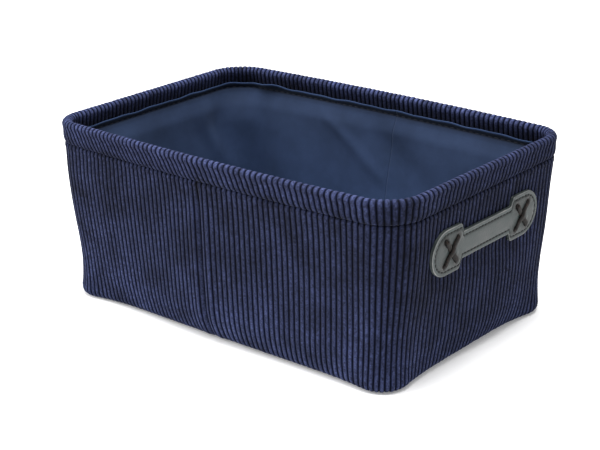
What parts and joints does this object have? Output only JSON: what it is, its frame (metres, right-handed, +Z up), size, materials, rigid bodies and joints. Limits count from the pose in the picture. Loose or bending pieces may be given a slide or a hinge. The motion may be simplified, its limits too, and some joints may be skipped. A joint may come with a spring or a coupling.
{
  "type": "fabric storage bin",
  "caption": "Open rectangular storage basket of wide-wale corduroy over a wire rim, with a smooth cloth lining, a stiff base and a laced leather-look handle on each end.",
  "frame": {"origin": "middle of the underside of the base, on the surface that the bin stands on", "axes": "+X along the bin's length towards one handle, +Y towards one long side, +Z up towards the open rim"},
  "size_m": [0.354, 0.241, 0.153],
  "materials": {
    "corduroy": "navy wide-wale cotton corduroy with a soft brushed pile",
    "lining": "plain-woven navy lining cloth, matt",
    "felt": "pale pressed felt",
    "board": "grey-brown board",
    "wire": "bright drawn wire",
    "leather": "slate grey imitation leather with a fine grain and a paler cut edge",
    "lace": "dark brown flat lace",
    "patch": "plain brown patch",
    "thread": "dark twisted sewing thread"
  },
  "bodies": {
    "root": {"corduroy_panel_left": "corduroy", "corduroy_panel_right": "corduroy", "corduroy_base": "corduroy", "base_board": "board", "felt_interlining_left": "felt", "felt_interlining_right": "felt", "lining_panel_left": "lining", "lining_panel_right": "lining", "lining_base": "lining", "rim_wire": "wire", "rim_wire_sleeve": "wire", "rim_topstitch_outside": "thread", "rim_topstitch_inside": "thread", "handle_top_leather_left": "leather", "handle_top_leather_right": "leather", "handle_backing_left": "leather", "handle_backing_right": "leather", "handle_stitching_left": "thread", "handle_stitching_right": "thread", "lace_left_first": "lace", "lace_left_second": "lace", "lace_right_first": "lace", "lace_right_second": "lace", "lace_patch_left_first": "patch", "lace_patch_left_second": "patch", "lace_patch_right_first": "patch", "lace_patch_right_second": "patch"}
  },
  "joints": []
}
